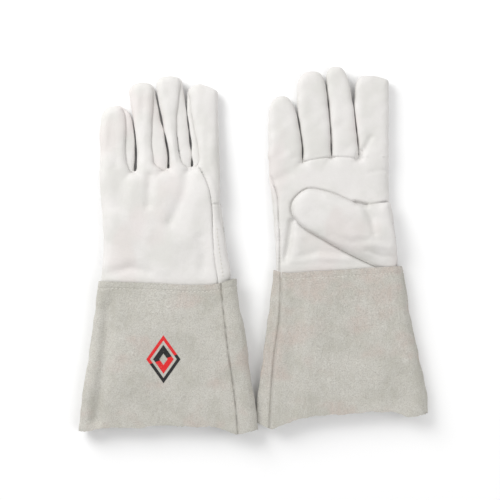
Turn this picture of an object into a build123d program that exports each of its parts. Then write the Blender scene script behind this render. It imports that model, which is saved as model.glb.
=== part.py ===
from build123d import *

import math
import os

# A pair of leather welding gauntlets, lying flat side by side on a table.
#
# The left-hand glove lies palm down with its thumb folded underneath. The right-hand glove lies palm up
# with its thumb folded across the palm. Each glove is a soft goatskin hand, sewn from a back, a palm,
# finger fronts and backs, finger side strips and a two-piece thumb, and a flared split-leather cuff sewn
# over the wrist. Every leather piece is a thin shell, so that a hand can go in through the cuff.
#
# Frame: millimetres, +Z up, fingers towards +Y, thumbs towards +X. The origin is on the table, under the
# middle of the pair. Along X, "ulnar" is a glove's little-finger side and "radial" its thumb side.

# Driving dimensions
LEATHER = 1.2  # goatskin
SUEDE = 1.6  # split cowhide of the cuff
HAND_DEPTH = 14.0  # an empty hand or finger, lying flat
THUMB_DEPTH = 7.0
CUFF_DEPTH = 18.6
EDGE_RADIUS = 4.5  # roundness of the folded edges of hand and fingers
CUFF_EDGE_RADIUS = 6.0
SEAM_INSET = 4.8  # from a finger's skin to the seam of its side strip
STUB = 12.0  # finger root that stays with the hand, from the crotch to the knuckle hinge
ROOT_DEPTH = 14.0  # how far a finger root runs down into the hand
HINGE_GAP = 0.6
SLIP = 0.3  # clearance between pieces that slide on each other
WRIST_SLIP = 0.6  # clearance between the wrist and the cuff around it
ULNAR_SEAM_INSET = 7.0  # from the hand's little-finger edge to the seam on the palm side
TIP_LIFT = 0.1  # from the table to a finger's tip
FAR = 600.0  # larger than the pair, for the cutters

# Thread and print
STITCH = (2.6, 0.8, 0.4)
STITCH_PITCH = 4.0
STITCH_INSET = 6.5  # from the cuff's top edge to its row of stitches
EMBLEM_CENTRE = (-88.5, -107.5)
EMBLEM_HALF = (17.0, 24.0)
EMBLEM_DEPTH = 0.3

# Everything is drawn first about a convenient point, then moved so that the pair is centred
PAIR_SHIFT = (0.5, -1.7, 0.0)

# Finger: base centre on the crotch line, length from there, width at base and tip, lean to the left (degrees)
FINGERS = {
    "left": {
        "little": ((-135.8, 78.0), 67.0, 30.4, 27.0, 2.2),
        "ring": ((-105.0, 80.0), 88.0, 28.4, 25.6, 4.4),
        "middle": ((-75.5, 82.5), 91.5, 28.0, 26.6, 5.4),
        "index": ((-46.8, 84.0), 83.0, 26.6, 27.2, 2.4),
    },
    "right": {
        "little": ((32.6, 89.0), 66.0, 31.0, 27.6, 2.6),
        "ring": ((64.5, 91.0), 89.0, 28.2, 27.0, 3.4),
        "middle": ((93.0, 94.0), 91.5, 26.4, 25.6, 3.7),
        "index": ((121.4, 93.5), 82.5, 29.2, 30.0, 1.3),
    },
}

# Hand below the crotches: its little-finger side and its thumb side, each from the wrist up
HAND_ULNAR_SIDE = {
    "left": [(-147.5, -34.4), (-148.0, 11.0), (-151.6, 77.0)],
    "right": [(26.0, -22.6), (22.0, 11.0), (16.4, 88.0)],
}
HAND_RADIAL_SIDE = {
    "left": [(-22.5, -34.4), (-27.5, 1.0), (-33.2, 46.0), (-33.2, 84.0)],
    "right": [(142.0, -18.8), (143.0, 8.0), (136.6, 49.0), (136.4, 92.0)],
}
CROTCHES = {
    "left": [(-60.6, 84.0), (-90.5, 81.5), (-119.8, 78.0)],
    "right": [(106.8, 94.0), (79.2, 94.0), (49.2, 89.0)],
}
RADIAL_SEAM = {  # on the back, from the crotch of index and middle finger to the wrist
    "left": [(-55.0, 86.0), (-43.5, 63.0), (-40.5, 46.0), (-38.5, 10.0), (-33.4, -34.4)],
    "right": [(112.0, 96.0), (125.0, 66.0), (128.5, 46.0), (131.0, 10.0), (133.4, -26.0)],
}

# Folded thumb of the right glove, from the tip round by the crotch and along the fold at the hand's edge
THUMB_OUTLINE = [
    (39.0, 41.0), (46.0, 54.0), (58.5, 60.5), (84.0, 55.0), (106.0, 48.0), (134.4, 48.6),
    (138.0, -6.0), (126.0, -12.5), (90.0, 1.0), (46.0, 27.0),
]
THUMB_HOLE = [(104.0, 40.0), (126.0, 41.0), (131.0, 4.0), (112.0, 1.0)]
THUMB_TOP_Y = 49.0
WING_LINE = [(123.0, 60.0), (129.0, -30.0)]
WING_STITCHES = [(134.2, 18.0), (137.0, -14.0)]  # on the back
THUMB_SHIFT = {"left": (-169.4, -2.0), "right": (0.0, 0.0)}

# Cuff: its little-finger side and its thumb side from the top down, and its hem from ulnar to radial
CUFF_ULNAR_SIDE = {
    "left": [(-153.6, -30.8), (-158.6, -69.0), (-167.4, -129.0), (-173.6, -172.0)],
    "right": [(21.6, -19.0), (14.6, -74.0), (3.2, -166.0)],
}
CUFF_RADIAL_SIDE = {
    "left": [(-18.2, -30.8), (-12.6, -69.0), (-5.6, -109.0), (1.6, -168.0)],
    "right": [(147.6, -15.0), (155.6, -61.0), (164.4, -105.0), (172.6, -150.0)],
}
CUFF_HEM = {
    "left": [
        (-172.6, -180.0),
        (-144.5, -176.0),
        (-94.5, -173.6),
        (-35.5, -175.0),
        (-13.8, -181.8),
        (1.4, -178.0),
    ],
    "right": [
        (4.0, -170.4), (16.6, -177.0), (36.6, -170.0), (60.0, -164.4), (125.5, -160.4), (153.6, -165.0),
        (172.2, -162.4),
    ],
}
CUFF_RADIAL_SEAM = {  # on the back face
    "left": [(-31.6, -30.8), (-25.4, -89.0), (-13.8, -190.0)],
    "right": [(134.0, -15.4), (142.0, -74.0), (156.0, -180.0)],
}
CUFF_ULNAR_SEAM = {  # on the palm face
    "left": [(-144.6, -30.8), (-150.0, -80.0), (-158.4, -190.0)],
    "right": [(29.2, -18.6), (27.4, -66.0), (16.4, -190.0)],
}

PALM_UP = {"left": False, "right": True}

# Levels: the wrist lies inside the cuff, and the left hand lies on its folded thumb
CUFF_ABOVE_HAND = WRIST_SLIP + SUEDE
HAND_Z = {"left": THUMB_DEPTH + SLIP, "right": CUFF_DEPTH - CUFF_ABOVE_HAND - HAND_DEPTH}
THUMB_Z = {"left": 0.0, "right": HAND_Z["right"] + HAND_DEPTH + SLIP}
CUFF_TOP_Z = {glove: HAND_Z[glove] + HAND_DEPTH + CUFF_ABOVE_HAND for glove in HAND_Z}


# Cutters


def prism(points, low, high):
    """A plate of that outline, from level low to level high."""
    face = make_face(Polyline(*points, close=True))
    return Pos(0, 0, low) * extrude(face, amount=high - low, dir=(0, 0, 1))


def side_of(line, side):
    """Everything beside a line drawn from the fingers to the wrist: side is 1 for radial, -1 for ulnar."""
    points = [(line[0][0], FAR), *line, (line[-1][0], -FAR), (side * FAR, -FAR), (side * FAR, FAR)]
    return prism(points, -FAR, FAR)


def slab(low, high):
    """Everything between two levels."""
    return Pos(0, 0, (low + high) / 2) * Box(2 * FAR, 2 * FAR, high - low)


def below_y(y):
    """Everything nearer the wrist than y."""
    return Pos(0, y - FAR, 0) * Box(2 * FAR, 2 * FAR, 2 * FAR)


def one_piece(shape):
    """The shape's solids as one plain solid or compound."""
    solids = shape.solids()
    return solids[0] if len(solids) == 1 else Compound(children=solids)


def two_panels(shell, middle, palm_up, radial_seam, ulnar_seam):
    """A shell split into its back and its palm panel.

    The back panel wraps the ulnar edge, and the palm panel the radial edge, each to a seam on the far face.
    """
    upper, lower = slab(middle, FAR), slab(-FAR, middle)
    palm_half, back_half = (upper, lower) if palm_up else (lower, upper)
    back = (shell & back_half) - side_of(radial_seam, 1)
    back += shell & palm_half & side_of(ulnar_seam, -1)
    return back, shell - back


# Fingers


def finger_prism(length, base_width, tip_width, depth, radius, base_y):
    """One finger along +Y with a round tip, its base at base_y and its underside at z 0."""
    half_base, half_tip = base_width / 2, tip_width / 2
    shoulder = length - half_tip
    outline = [
        Line((-half_base, base_y), (half_base, base_y)),
        Line((half_base, base_y), (half_tip, shoulder)),
        ThreePointArc((half_tip, shoulder), (0, length), (-half_tip, shoulder)),
        Line((-half_tip, shoulder), (-half_base, base_y)),
    ]
    solid = extrude(make_face(Wire(outline)), amount=depth, dir=(0, 0, 1))
    faces = solid.faces().sort_by(Axis.Z)
    rims = [edge for face in (faces[0], faces[-1]) for edge in face.edges()]
    return fillet([edge for edge in rims if edge.center().Y > base_y + 0.5], radius)


def finger_shell(length, base_width, tip_width):
    """A finger's whole leather, open at the base."""
    outer = finger_prism(length, base_width, tip_width, HAND_DEPTH, EDGE_RADIUS, -6.0)
    room = finger_prism(
        length - LEATHER,
        base_width - 2 * LEATHER,
        tip_width - 2 * LEATHER,
        HAND_DEPTH - 2 * LEATHER,
        EDGE_RADIUS - LEATHER,
        -8.0,
    )
    return outer - Pos(0, 0, LEATHER) * room


def finger_sizes(glove, name):
    """Length beyond the hinge, base width and tip width."""
    _, length, base_width, tip_width, _ = FINGERS[glove][name]
    return length - STUB, base_width, tip_width


def finger_place(glove, name):
    """The frame of a finger in line with the hand: its origin is under the knuckle hinge, +Y to the tip."""
    (x, y), _, _, _, lean = FINGERS[glove][name]
    angle = math.radians(lean)
    return Pos(x - STUB * math.sin(angle), y + STUB * math.cos(angle), HAND_Z[glove]) * Rot(0, 0, lean)


def finger_droop(glove, name):
    """How far a finger turns down about its knuckle, in degrees, for its tip to lie on the table."""
    return math.degrees(math.asin((HAND_Z[glove] - TIP_LIFT) / finger_sizes(glove, name)[0]))


def finger_pieces(glove, name):
    """A finger's leather pieces where they rest, by piece name."""
    length, base_width, tip_width = finger_sizes(glove, name)
    shell = finger_shell(length, base_width, tip_width)
    shoulder = length - tip_width / 2
    low, high = SEAM_INSET, HAND_DEPTH - SEAM_INSET
    under, over = shell & slab(-1, low), shell & slab(high, HAND_DEPTH + 1)
    band = shell & slab(low, high)
    tip = band - below_y(shoulder)
    sides = band & below_y(shoulder)
    ulnar_side, radial_side = sides & side_of([(0, 0), (0, -1)], -1), sides & side_of([(0, 0), (0, -1)], 1)
    front, back = (over, under) if PALM_UP[glove] else (under, over)
    if name == "index":
        pieces = {"cover": front + back + tip + radial_side, "fourchette": ulnar_side}
    elif name == "little":
        pieces = {"back": back + tip + ulnar_side, "front": front, "fourchette": radial_side}
    else:
        pieces = {"back": back + tip, "front": front, "ulnar_fourchette": ulnar_side}
        pieces["radial_fourchette"] = radial_side
    turn = Pos(0, 0, HAND_DEPTH) * Rot(-finger_droop(glove, name), 0, 0) * Pos(0, 0, -HAND_DEPTH)
    place = finger_place(glove, name)
    return {piece: place * (turn * shape - below_y(HINGE_GAP)) for piece, shape in pieces.items()}


# Hand


def finger_root(width, depth, radius, past):
    """The straight stretch of a finger from inside the hand to its hinge, or past it."""
    length = STUB + ROOT_DEPTH + past
    solid = Pos(0, past - length / 2, depth / 2) * Box(width, length, depth)
    return fillet(solid.edges().filter_by(Axis.Y), radius)


def hand_solid(glove, wall, depth, radius, past):
    """The hand with its finger roots as one solid, smaller all round by wall, its wrist end past the hand's."""
    ulnar = [(x + wall, y) for x, y in HAND_ULNAR_SIDE[glove]]
    radial = [(x - wall, y) for x, y in HAND_RADIAL_SIDE[glove]]
    crotches = [(x, y - wall) for x, y in CROTCHES[glove]]
    ulnar[0], radial[0] = (ulnar[0][0], ulnar[0][1] - past), (radial[0][0], radial[0][1] - past)
    ulnar[-1], radial[-1] = (ulnar[-1][0], ulnar[-1][1] - wall), (radial[-1][0], radial[-1][1] - wall)
    solid = prism([*radial, *crotches, *reversed(ulnar)], 0, depth)
    faces = solid.faces().sort_by(Axis.Z)
    rims = [edge for face in (faces[0], faces[-1]) for edge in face.edges()]
    inner, outer = max(x for x, _ in ulnar) + 1.0, min(x for x, _ in radial) - 1.0
    long_sides = [edge for edge in rims if not inner < edge.center().X < outer]
    return Pos(0, 0, wall) * fillet(long_sides, radius)


def hand_shell(glove):
    """The whole hand as one shell, open at the wrist and into each finger."""
    inner_depth, inner_radius = HAND_DEPTH - 2 * LEATHER, EDGE_RADIUS - LEATHER
    outer = Pos(0, 0, HAND_Z[glove]) * hand_solid(glove, 0.0, HAND_DEPTH, EDGE_RADIUS, 0.0)
    room = Pos(0, 0, HAND_Z[glove]) * hand_solid(glove, LEATHER, inner_depth, inner_radius, 5.0)
    for name, (_, _, base_width, _, _) in FINGERS[glove].items():
        place = finger_place(glove, name)
        outer += place * finger_root(base_width, HAND_DEPTH, EDGE_RADIUS, 0.0)
        passage = finger_root(base_width - 2 * LEATHER, inner_depth, inner_radius, 2.0)
        room += place * Pos(0, 0, LEATHER) * passage
    return outer - room


def on_thumb(glove, points):
    """Points given on the right glove's thumb, moved to this glove's."""
    dx, dy = THUMB_SHIFT[glove]
    return [(x + dx, y + dy) for x, y in points]


def stitch_row(start, end, level):
    """A straight row of stitches standing on a face at that level."""
    (x0, y0), (x1, y1) = start, end
    length = math.hypot(x1 - x0, y1 - y0)
    turn = math.degrees(math.atan2(y1 - y0, x1 - x0))
    count = int(length / STITCH_PITCH)
    stitch = Pos(0, 0, STITCH[2] / 2) * Box(*STITCH)
    row = []
    for i in range(count):
        share = (i + 0.5) / count
        row.append(Pos(x0 + share * (x1 - x0), y0 + share * (y1 - y0), level) * Rot(0, 0, turn) * stitch)
    return Compound(children=[shape.solid() for shape in row])


def hand_pieces(glove):
    """The hand's leather: its back, its palm and the thumb's wing with its stitches round the radial edge."""
    shell = hand_shell(glove)
    middle = HAND_Z[glove] + HAND_DEPTH / 2
    ulnar_seam = [(x + ULNAR_SEAM_INSET, y) for x, y in reversed(HAND_ULNAR_SIDE[glove])]
    back, palm = two_panels(shell, middle, PALM_UP[glove], RADIAL_SEAM[glove], ulnar_seam)
    low, high = (middle, FAR) if PALM_UP[glove] else (-FAR, middle)
    palm -= prism(on_thumb(glove, THUMB_HOLE), low, high)
    wing = palm & side_of(on_thumb(glove, WING_LINE), 1) & below_y(THUMB_TOP_Y + THUMB_SHIFT[glove][1])
    level = HAND_Z[glove] - STITCH[2] if PALM_UP[glove] else HAND_Z[glove] + HAND_DEPTH
    stitches = stitch_row(*on_thumb(glove, WING_STITCHES), level)
    return {"hand_back": back, "palm": palm - wing, "thumb_wing": wing, "wing_stitching": stitches}


def thumb_pieces(glove):
    """The folded thumb: an outer piece with the rim, and an inner piece that faces the palm."""
    points = on_thumb(glove, THUMB_OUTLINE)
    outer = fillet(prism(points, 0, THUMB_DEPTH).edges().filter_by(Axis.Z), 3.0)
    face = offset(make_face(Polyline(*points, close=True)), -LEATHER)
    room = Pos(0, 0, LEATHER) * extrude(face, amount=THUMB_DEPTH - 2 * LEATHER, dir=(0, 0, 1))
    low, high = (-1.0, THUMB_DEPTH / 2) if PALM_UP[glove] else (THUMB_DEPTH / 2, THUMB_DEPTH + 1)
    shell = outer - room - prism(on_thumb(glove, THUMB_HOLE), low, high)
    inner_half = slab(-1, LEATHER) if PALM_UP[glove] else slab(THUMB_DEPTH - LEATHER, FAR)
    place = Pos(0, 0, THUMB_Z[glove])
    return {"thumb_outer": place * (shell - inner_half), "thumb_inner": place * (shell & inner_half)}


# Cuff


def cuff_place(glove):
    """The cuff is drawn lying on the table, then tipped up about its hem until its top edge meets the wrist."""
    (x0, y0), (x1, y1) = CUFF_ULNAR_SIDE[glove][0], CUFF_RADIAL_SIDE[glove][0]
    turn = math.degrees(math.atan2(y1 - y0, x1 - x0))
    rise = CUFF_TOP_Z[glove] - CUFF_DEPTH
    length = max(y0, y1) - min(y for _, y in CUFF_HEM[glove])
    slope = math.degrees(math.asin(rise / length))
    frame = Pos((x0 + x1) / 2, (y0 + y1) / 2, CUFF_TOP_Z[glove]) * Rot(0, 0, turn)
    return frame * Rot(slope, 0, 0) * frame.inverse() * Pos(0, 0, rise)


def cuff_solid(glove, wall, radius, past):
    """The cuff as one solid, smaller by wall at its sides and faces, its open ends run out by past."""
    ulnar = [(x + wall, y) for x, y in CUFF_ULNAR_SIDE[glove]]
    radial = [(x - wall, y) for x, y in CUFF_RADIAL_SIDE[glove]]
    ulnar[0], radial[0] = (ulnar[0][0], ulnar[0][1] + past), (radial[0][0], radial[0][1] + past)
    hem = CUFF_HEM[glove]
    if past:
        ulnar[-1], radial[-1] = (ulnar[-1][0], -FAR / 3), (radial[-1][0], -FAR / 3)
        hem = []
    solid = prism([*ulnar, *hem, *reversed(radial)], wall, CUFF_DEPTH - wall)
    faces = solid.faces().sort_by(Axis.Z)
    rims = [edge for face in (faces[0], faces[-1]) for edge in face.edges()]
    near_ulnar, near_radial = max(x for x, _ in ulnar) + 1.0, min(x for x, _ in radial) - 1.0

    def long_side(edge):
        step = edge.end_point() - edge.start_point()
        return abs(step.Y) > 2 * abs(step.X) and not near_ulnar < edge.center().X < near_radial

    return fillet([edge for edge in rims if long_side(edge)], radius)


def cuff_pieces(glove):
    """The cuff's two panels, its stitching, and on the left glove its print."""
    shell = cuff_solid(glove, 0.0, CUFF_EDGE_RADIUS, 0.0) - cuff_solid(glove, SUEDE, CUFF_EDGE_RADIUS - SUEDE, 9.0)
    back, palm = two_panels(
        shell, CUFF_DEPTH / 2, PALM_UP[glove], CUFF_RADIAL_SEAM[glove], CUFF_ULNAR_SEAM[glove]
    )
    (x0, y0), (x1, y1) = CUFF_ULNAR_SIDE[glove][0], CUFF_RADIAL_SIDE[glove][0]
    clear = CUFF_EDGE_RADIUS + 2.0
    start, end = (x0 + clear, y0 - STITCH_INSET), (x1 - clear, y1 - STITCH_INSET)
    pieces = {"cuff_back": back, "cuff_palm": palm, "cuff_stitching": stitch_row(start, end, CUFF_DEPTH)}
    if glove == "left":
        (x, y), (half_x, half_y) = EMBLEM_CENTRE, EMBLEM_HALF
        diamond = [(x - half_x, y), (x, y - half_y), (x + half_x, y), (x, y + half_y)]
        pieces["cuff_emblem"] = prism(diamond, CUFF_DEPTH, CUFF_DEPTH + EMBLEM_DEPTH)
    place = cuff_place(glove)
    return {piece: place * shape for piece, shape in pieces.items()}


# The whole pair


def glove_nodes(glove):
    """Every node of one glove, by name."""
    nodes = {**hand_pieces(glove), **thumb_pieces(glove), **cuff_pieces(glove)}
    for finger in FINGERS[glove]:
        for piece, shape in finger_pieces(glove, finger).items():
            nodes[f"{finger}_{piece}"] = shape
    return {f"{glove}_{name}": shape for name, shape in nodes.items()}


def build():
    """Every node of the pair, by name, where it rests."""
    nodes = {**glove_nodes("left"), **glove_nodes("right")}
    return {name: one_piece(Pos(*PAIR_SHIFT) * shape) for name, shape in nodes.items()}


NODES = build()
os.makedirs("parts", exist_ok=True)
for node_name, node_shape in NODES.items():
    export_step(node_shape, f"parts/{node_name}.step")
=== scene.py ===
import math
from types import SimpleNamespace

import bpy
import numpy as np
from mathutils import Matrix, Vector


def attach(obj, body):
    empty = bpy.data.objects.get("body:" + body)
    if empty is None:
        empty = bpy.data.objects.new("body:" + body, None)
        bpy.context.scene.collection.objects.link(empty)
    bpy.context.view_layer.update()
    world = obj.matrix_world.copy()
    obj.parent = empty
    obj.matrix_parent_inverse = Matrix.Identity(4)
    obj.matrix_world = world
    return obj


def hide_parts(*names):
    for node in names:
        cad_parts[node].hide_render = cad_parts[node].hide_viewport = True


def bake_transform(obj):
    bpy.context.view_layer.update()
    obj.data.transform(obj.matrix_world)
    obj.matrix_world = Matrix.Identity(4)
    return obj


# A pair of leather welding gauntlets lying flat: the left one palm down, the right one palm up.
# Every leather panel is its own closed shell. A glove's form is a smooth field whose zero level is the
# leather's outer face. It is meshed, cut along the seams, and each panel is thickened inwards.
# All shapes are worked out in millimetres, then placed in the frame's metres.

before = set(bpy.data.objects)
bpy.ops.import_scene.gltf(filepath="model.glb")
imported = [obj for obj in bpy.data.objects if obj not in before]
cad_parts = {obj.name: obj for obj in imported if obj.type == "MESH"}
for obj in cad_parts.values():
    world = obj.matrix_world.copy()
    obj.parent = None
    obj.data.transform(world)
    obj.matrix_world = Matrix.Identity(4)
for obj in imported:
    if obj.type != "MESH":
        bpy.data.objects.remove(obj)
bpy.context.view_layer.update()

MM = 0.001
PAIR_SHIFT = np.array((0.5, -1.7, 0.0))  # from drawing coordinates to the frame
LEATHER = 1.1  # thickness of the goatskin
SUEDE = 1.7  # thickness of the cuffs' split leather
COARSE = 1.0
CELL = {"hand": 0.95 * COARSE, "finger": 0.8 * COARSE, "thumb": 0.85 * COARSE, "cuff": 1.3 * COARSE}
ROUNDING = 2.3  # power of the rounded forms: 2 is an ellipse, and more is squarer
SEAM_WIDTH = 1.3
SEAM_DEPTH = 0.9
SEAM_LINES = (-1.8, -0.8, 0.8, 1.8)  # extra edge loops beside a seam


# ---------------------------------------------------------------- shape helpers


def placed(points):
    """Points of the drawing, in the frame."""
    return (np.array(points) + PAIR_SHIFT) * MM


def linked(name, data):
    obj = bpy.data.objects.new(name, data)
    bpy.context.scene.collection.objects.link(obj)
    return obj


def smoothstep(t):
    t = np.clip(t, 0.0, 1.0)
    return t * t * (3 - 2 * t)


def smooth_min(a, b, k):
    h = np.clip(0.5 + 0.5 * (b - a) / k, 0.0, 1.0)
    return b * (1 - h) + a * h - k * h * (1 - h)


def smooth_max(a, b, k):
    return -smooth_min(-a, -b, k)


def spline(points):
    """A smooth curve value(at) through (at, value) points, flat beyond its ends."""
    at = np.array([p[0] for p in points], float)
    value = np.array([p[1] for p in points], float)
    if at[0] > at[-1]:
        at, value = at[::-1], value[::-1]
    slope = np.gradient(value, at)

    def curve(x):
        x = np.clip(x, at[0], at[-1])
        i = np.clip(np.searchsorted(at, x) - 1, 0, len(at) - 2)
        step = at[i + 1] - at[i]
        t = (x - at[i]) / step
        a = value[i] * (2 * t**3 - 3 * t**2 + 1) + value[i + 1] * (3 * t**2 - 2 * t**3)
        b = slope[i] * step * (t**3 - 2 * t**2 + t) + slope[i + 1] * step * (t**3 - t**2)
        return a + b

    return curve


def curves(**measures):
    """The measures by name, with each list of points made into a curve."""
    return {name: spline(value) if isinstance(value, list) else value for name, value in measures.items()}


def waves(seed, length, count=7):
    """Soft random relief of about that wavelength, between -1 and 1."""
    rng = np.random.default_rng(seed)
    angle = rng.uniform(0, math.pi, count)
    number = 2 * math.pi / (length * rng.uniform(0.7, 1.5, count))
    phase = rng.uniform(0, 2 * math.pi, count)

    def relief(x, y):
        total = 0.0
        for a, n, p in zip(angle, number, phase):
            total = total + np.sin(n * (x * math.cos(a) + y * math.sin(a)) + p)
        return total / count**0.5 / 1.4

    return relief


def stroke(x, y, points, width):
    """1 along a polyline, falling smoothly to 0 away from it."""
    return np.exp(-((line_distance(x, y, points) / width) ** 2))


def line_distance(x, y, points):
    best = np.full(np.shape(x), 1e9)
    for (x0, y0), (x1, y1) in zip(points[:-1], points[1:]):
        dx, dy = x1 - x0, y1 - y0
        t = np.clip(((x - x0) * dx + (y - y0) * dy) / (dx * dx + dy * dy), 0, 1)
        best = np.minimum(best, np.hypot(x - x0 - t * dx, y - y0 - t * dy))
    return best


def pillow(d, rim, height_up, height_down, z, power=ROUNDING):
    """A flat puffy form: d is the plan distance outside its outline, rim how far its rounding reaches in."""
    height = np.where(z > 0, height_up, height_down)
    level = (np.clip(1 + d / rim, 0, None) ** power + (np.abs(z) / height) ** power) ** (1 / power)
    return (level - 1) * np.minimum(rim, height)


# ---------------------------------------------------------------- meshing


def surface_net(field, low, high, cell):
    """Vertices and triangles of the field's zero level."""
    axes = [np.arange(a, b + cell, cell) for a, b in zip(low, high)]
    size = tuple(len(axis) for axis in axes)
    value = np.broadcast_to(field(*np.meshgrid(*axes, indexing="ij", sparse=True)), size)
    grid = np.stack(np.meshgrid(*axes, indexing="ij"), -1)
    inside = value < 0
    shape = np.array(size) - 1
    total = np.zeros((*shape, 3))
    count = np.zeros(shape)
    crossings = []
    for axis in range(3):
        first = tuple(slice(0, -1) if a == axis else slice(None) for a in range(3))
        second = tuple(slice(1, None) if a == axis else slice(None) for a in range(3))
        crossed = inside[first] != inside[second]
        crossings.append(crossed)
        share = np.where(crossed, value[first] / np.where(crossed, value[first] - value[second], 1), 0)
        point = grid[first].copy()
        point[..., axis] += share * cell
        others = [a for a in range(3) if a != axis]
        for m in (0, 1):
            for n in (0, 1):
                pick = [slice(None)] * 3
                pick[others[0]] = slice(m, m + shape[others[0]])
                pick[others[1]] = slice(n, n + shape[others[1]])
                hit = crossed[tuple(pick)]
                count += hit
                total += np.where(hit[..., None], point[tuple(pick)], 0)
    used = count > 0
    index = np.full(used.shape, -1)
    index[used] = np.arange(used.sum())
    vertices = total[used] / count[used][:, None]
    quads = []
    ring = ((-1, -1), (0, -1), (0, 0), (-1, 0))
    for axis, crossed in enumerate(crossings):
        a, b = (axis + 1) % 3, (axis + 2) % 3
        where = np.argwhere(crossed)
        where = where[(where[:, a] > 0) & (where[:, b] > 0)]
        where = where[(where[:, a] < shape[a]) & (where[:, b] < shape[b])]
        corners = []
        for m, n in ring:
            cell_at = where.copy()
            cell_at[:, a] += m
            cell_at[:, b] += n
            corners.append(index[tuple(cell_at.T)])
        quad = np.stack(corners, 1)
        outward = inside[tuple(where.T)]
        quads.append(np.where(outward[:, None], quad, quad[:, ::-1]))
    quads = np.concatenate(quads)
    quads = quads[(quads >= 0).all(1)]
    return vertices, np.concatenate([quads[:, (0, 1, 2)], quads[:, (0, 2, 3)]])


TETRAHEDRON = np.array(((1, -1, -1), (-1, 1, -1), (-1, -1, 1), (1, 1, 1)), float)


def value_and_gradient(field, v, step=0.05):
    """The field and its gradient at points, from four samples round each."""
    samples = [field(*(v + step * corner).T) for corner in TETRAHEDRON]
    slope = sum(value[:, None] * corner for value, corner in zip(samples, TETRAHEDRON)) / (4 * step)
    return sum(samples) / 4, slope


def normals_of(field, v):
    normal = value_and_gradient(field, v)[1]
    return normal / np.maximum(np.linalg.norm(normal, axis=1, keepdims=True), 1e-9)


def project(field, v, rounds=3, most=0.8):
    """Moves points onto the field's zero level."""
    for _ in range(rounds):
        value, slope = value_and_gradient(field, v)
        size = np.maximum((slope * slope).sum(1), 1e-4)
        move = -value[:, None] * slope / size[:, None]
        length = np.linalg.norm(move, axis=1, keepdims=True)
        v = v + move * np.minimum(1, most / np.maximum(length, 1e-9))
    return v


def relax(field, v, t, rounds=2):
    """Evens the spacing of a mesh along the surface."""
    first = np.concatenate([t[:, 0], t[:, 1], t[:, 2], t[:, 1], t[:, 2], t[:, 0]])
    second = np.concatenate([t[:, 1], t[:, 2], t[:, 0], t[:, 0], t[:, 1], t[:, 2]])
    count = np.maximum(np.bincount(first, minlength=len(v)), 1)
    for _ in range(rounds):
        sums = [np.bincount(first, v[second, axis], len(v)) for axis in range(3)]
        v = project(field, v + 0.5 * (np.stack(sums, 1) / count[:, None] - v), 1)
    return v


def cut(v, t, level, snap):
    """Splits the triangles that cross level's zero line, after pulling close vertices onto it."""
    phi = level(*v.T)
    g = value_and_gradient(level, v)[1]
    size = np.maximum(np.linalg.norm(g, axis=1), 1e-3)
    near = np.abs(phi) < snap * size
    v = v.copy()
    v[near] -= (phi[near] / size[near] ** 2)[:, None] * g[near]
    sign = np.sign(phi).astype(int)
    sign[near] = 0
    corner = sign[t]
    mixed = (corner.min(1) < 0) & (corner.max(1) > 0)
    keep, split = t[~mixed], t[mixed]
    if len(split) == 0:
        return v, t
    corner = sign[split]
    has_zero = (corner == 0).any(1)
    lone = np.where(corner.sum(1) > 0, -1, 1)
    first = np.where(has_zero, (corner == 0).argmax(1), (corner == lone[:, None]).argmax(1))
    turn = (first[:, None] + np.arange(3)) % 3
    split = np.take_along_axis(split, turn, 1)
    one, two = split[~has_zero], split[has_zero]
    edges = np.concatenate([one[:, (0, 1)], one[:, (0, 2)], two[:, (1, 2)]])
    edges = np.sort(edges, 1)
    unique, back = np.unique(edges, axis=0, return_inverse=True)
    back = back.reshape(-1)
    a, b = phi[unique[:, 0]], phi[unique[:, 1]]
    share = np.clip(a / (a - b), 0.02, 0.98)[:, None]
    new = v[unique[:, 0]] * (1 - share) + v[unique[:, 1]] * share
    ids = back + len(v)
    p, q, r = ids[: len(one)], ids[len(one) : 2 * len(one)], ids[2 * len(one) :]
    added = [
        np.stack([one[:, 0], p, q], 1),
        np.stack([p, one[:, 1], one[:, 2]], 1),
        np.stack([p, one[:, 2], q], 1),
        np.stack([two[:, 0], two[:, 1], r], 1),
        np.stack([two[:, 0], r, two[:, 2]], 1),
    ]
    return np.concatenate([v, new]), np.concatenate([keep, *added])


def leather_panel(name, field, v, t, thickness):
    """A closed panel: the given outer face, an inner face, and a wall round its edge."""
    used, t = np.unique(t, return_inverse=True)
    t = t.reshape(-1, 3)
    v = v[used]
    normal = normals_of(field, v)
    inner = v - thickness * normal
    n = len(v)
    directed = np.concatenate([t[:, (0, 1)], t[:, (1, 2)], t[:, (2, 0)]])
    code = directed[:, 0] * n + directed[:, 1]
    rim = directed[~np.isin(code, directed[:, 1] * n + directed[:, 0])]
    a, b = rim.T
    wall = np.concatenate([np.stack([b, a, a + n], 1), np.stack([b, a + n, b + n], 1)])
    faces = np.concatenate([t, t[:, ::-1] + n, wall])
    points = placed(np.concatenate([v, inner]))
    normals = np.concatenate([normal, -normal])
    mesh = bpy.data.meshes.new(name)
    mesh.from_pydata([], [], [])
    mesh.vertices.add(len(points))
    mesh.vertices.foreach_set("co", points.astype(np.float32).ravel())
    mesh.loops.add(len(faces) * 3)
    mesh.loops.foreach_set("vertex_index", faces.astype(np.int32).ravel())
    mesh.polygons.add(len(faces))
    mesh.polygons.foreach_set("loop_start", np.arange(len(faces), dtype=np.int32) * 3)
    mesh.update(calc_edges=True)
    mesh.validate()
    corner_normals = normals[faces]
    flat = np.cross(points[faces[:, 1]] - points[faces[:, 0]], points[faces[:, 2]] - points[faces[:, 0]])
    flat /= np.maximum(np.linalg.norm(flat, axis=1, keepdims=True), 1e-12)
    walls = np.arange(len(faces)) >= 2 * len(t)
    corner_normals[walls] = flat[walls][:, None]
    if len(mesh.polygons) == len(faces):
        mesh.shade_smooth()
        mesh.normals_split_custom_set(corner_normals.reshape(-1, 3).tolist())
    return linked(name, mesh)


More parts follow.
